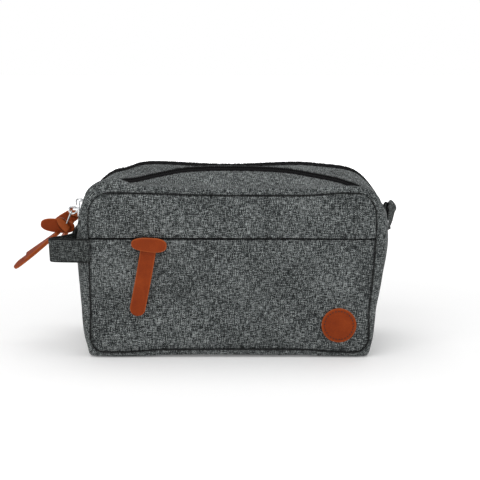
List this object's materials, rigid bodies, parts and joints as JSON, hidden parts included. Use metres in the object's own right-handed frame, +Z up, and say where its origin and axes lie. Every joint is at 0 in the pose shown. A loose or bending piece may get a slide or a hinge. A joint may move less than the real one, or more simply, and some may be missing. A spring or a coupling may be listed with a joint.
{
  "type": "toiletry bag",
  "caption": "Charcoal fabric toiletry bag with two zipped compartments, a flap pocket, a side handle and leather zip pulls",
  "frame": {"origin": "middle of the base's underside, on the surface the bag stands on", "axes": "+X towards the end tab, along the bag's width; the front pocket faces -Y; +Z up"},
  "size_m": [0.3059, 0.1153, 0.1382],
  "materials": {
    "cloth": "heather woven polyester in mixed charcoal and grey threads",
    "lining": "smooth dark lining over thin padding",
    "binding": "plain woven tape",
    "zip_tape": "closely woven zip tape",
    "coil": "black nylon coil",
    "metal": "bright plated metal",
    "leather": "oiled cognac leather with burnished edges",
    "thread": "waxed thread",
    "board": "thin flexible board"
  },
  "bodies": {
    "bag": {"lower_gusset": "cloth", "gusset_lining": "lining", "base_board": "board", "pocket_panel": "cloth", "pocket_lining": "lining", "pocket_flap": "cloth", "pocket_facing": "cloth", "front_wall": "cloth", "front_wall_lining": "lining", "back_lower_panel": "cloth", "back_lower_lining": "lining", "divider": "lining", "front_binding": "binding", "back_binding": "binding", "middle_strip": "cloth", "middle_strip_lining": "lining", "handle_strap": "cloth", "end_tab": "cloth", "leather_patch": "leather", "patch_stitches": "thread", "pocket_zip_tape_upper": "zip_tape", "pocket_zip_tape_lower": "zip_tape", "pocket_zip_coil_upper": "coil", "pocket_zip_coil_lower": "coil", "front_zip_tape_inner": "zip_tape", "front_zip_coil_inner": "coil", "rear_zip_tape_inner": "zip_tape", "rear_zip_coil_inner": "coil", "zip_end_stops": "metal"},
    "front_lid": {"front_upper_panel": "cloth", "front_upper_lining": "lining", "front_top_strip": "cloth", "front_strip_lining": "lining", "front_zip_tape_lid": "zip_tape", "front_zip_coil_lid": "coil"},
    "rear_lid": {"back_upper_panel": "cloth", "back_upper_lining": "lining", "rear_top_strip": "cloth", "rear_strip_lining": "lining", "rear_zip_tape_lid": "zip_tape", "rear_zip_coil_lid": "coil"},
    "pocket_slider": {"pocket_slider": "metal"},
    "pocket_bail": {"pocket_bail": "metal"},
    "pocket_pull": {"pocket_pull_head": "leather", "pocket_pull_strip": "leather"},
    "front_slider": {"front_slider": "metal"},
    "front_ring": {"front_ring": "metal"},
    "front_link": {"front_link": "metal"},
    "front_pull": {"front_pull_head": "leather", "front_pull_strip": "leather"},
    "rear_slider": {"rear_slider": "metal"},
    "rear_ring": {"rear_ring": "metal"},
    "rear_link": {"rear_link": "metal"},
    "rear_pull": {"rear_pull_head": "leather", "rear_pull_strip": "leather"}
  },
  "joints": [
    {"name": "front_opening", "type": "hinge", "parent": "bag", "child": "front_lid", "pos_m": [0, -0.0525, 0.102], "axis": [1, 0, 0], "range_deg": [0, 60]},
    {"name": "rear_opening", "type": "hinge", "parent": "bag", "child": "rear_lid", "pos_m": [0, 0.0525, 0.102], "axis": [-1, 0, 0], "range_deg": [0, 60]},
    {"name": "pocket_zip", "type": "slide", "parent": "bag", "child": "pocket_slider", "axis": [1, 0, 0], "range_m": [-0.033, 0.16]},
    {"name": "pocket_bail_swing", "type": "hinge", "parent": "pocket_slider", "child": "pocket_bail", "pos_m": [-0.0635, -0.0529, 0.0928], "axis": [0.9866, 0, -0.1633], "range_deg": [-48, 0]},
    {"name": "pocket_pull_swing", "type": "hinge", "parent": "pocket_bail", "child": "pocket_pull", "pos_m": [-0.0642, -0.0529, 0.08856], "axis": [0.9866, 0, -0.1633], "range_deg": [-8, 0]},
    {"name": "front_zip_travel", "type": "hinge", "parent": "bag", "child": "front_slider", "pos_m": [-0.094, -0.014, 0.111], "axis": [0, 1, 0], "range_deg": [0, 90]},
    {"name": "front_ring_swing", "type": "hinge", "parent": "front_slider", "child": "front_ring", "pos_m": [-0.1257, -0.014, 0.111], "axis": [0, -1, 0], "range_deg": [-90, 0]},
    {"name": "front_link_swing", "type": "hinge", "parent": "front_ring", "child": "front_link", "pos_m": [-0.1279, -0.014, 0.10912], "axis": [0, -1, 0], "range_deg": [-25, 0]},
    {"name": "front_pull_swing", "type": "hinge", "parent": "front_link", "child": "front_pull", "pos_m": [-0.13292, -0.014, 0.09669], "axis": [0, -1, 0], "range_deg": [-25, 0]},
    {"name": "rear_zip_travel", "type": "hinge", "parent": "bag", "child": "rear_slider", "pos_m": [-0.094, 0.0305, 0.111], "axis": [0, 1, 0], "range_deg": [0, 90]},
    {"name": "rear_ring_swing", "type": "hinge", "parent": "rear_slider", "child": "rear_ring", "pos_m": [-0.1257, 0.0305, 0.111], "axis": [0, -1, 0], "range_deg": [-90, 0]},
    {"name": "rear_link_swing", "type": "hinge", "parent": "rear_ring", "child": "rear_link", "pos_m": [-0.1279, 0.0305, 0.10912], "axis": [0, -1, 0], "range_deg": [-25, 0]},
    {"name": "rear_pull_swing", "type": "hinge", "parent": "rear_link", "child": "rear_pull", "pos_m": [-0.1287, 0.0305, 0.10156], "axis": [0, -1, 0], "range_deg": [-25, 0]}
  ]
}
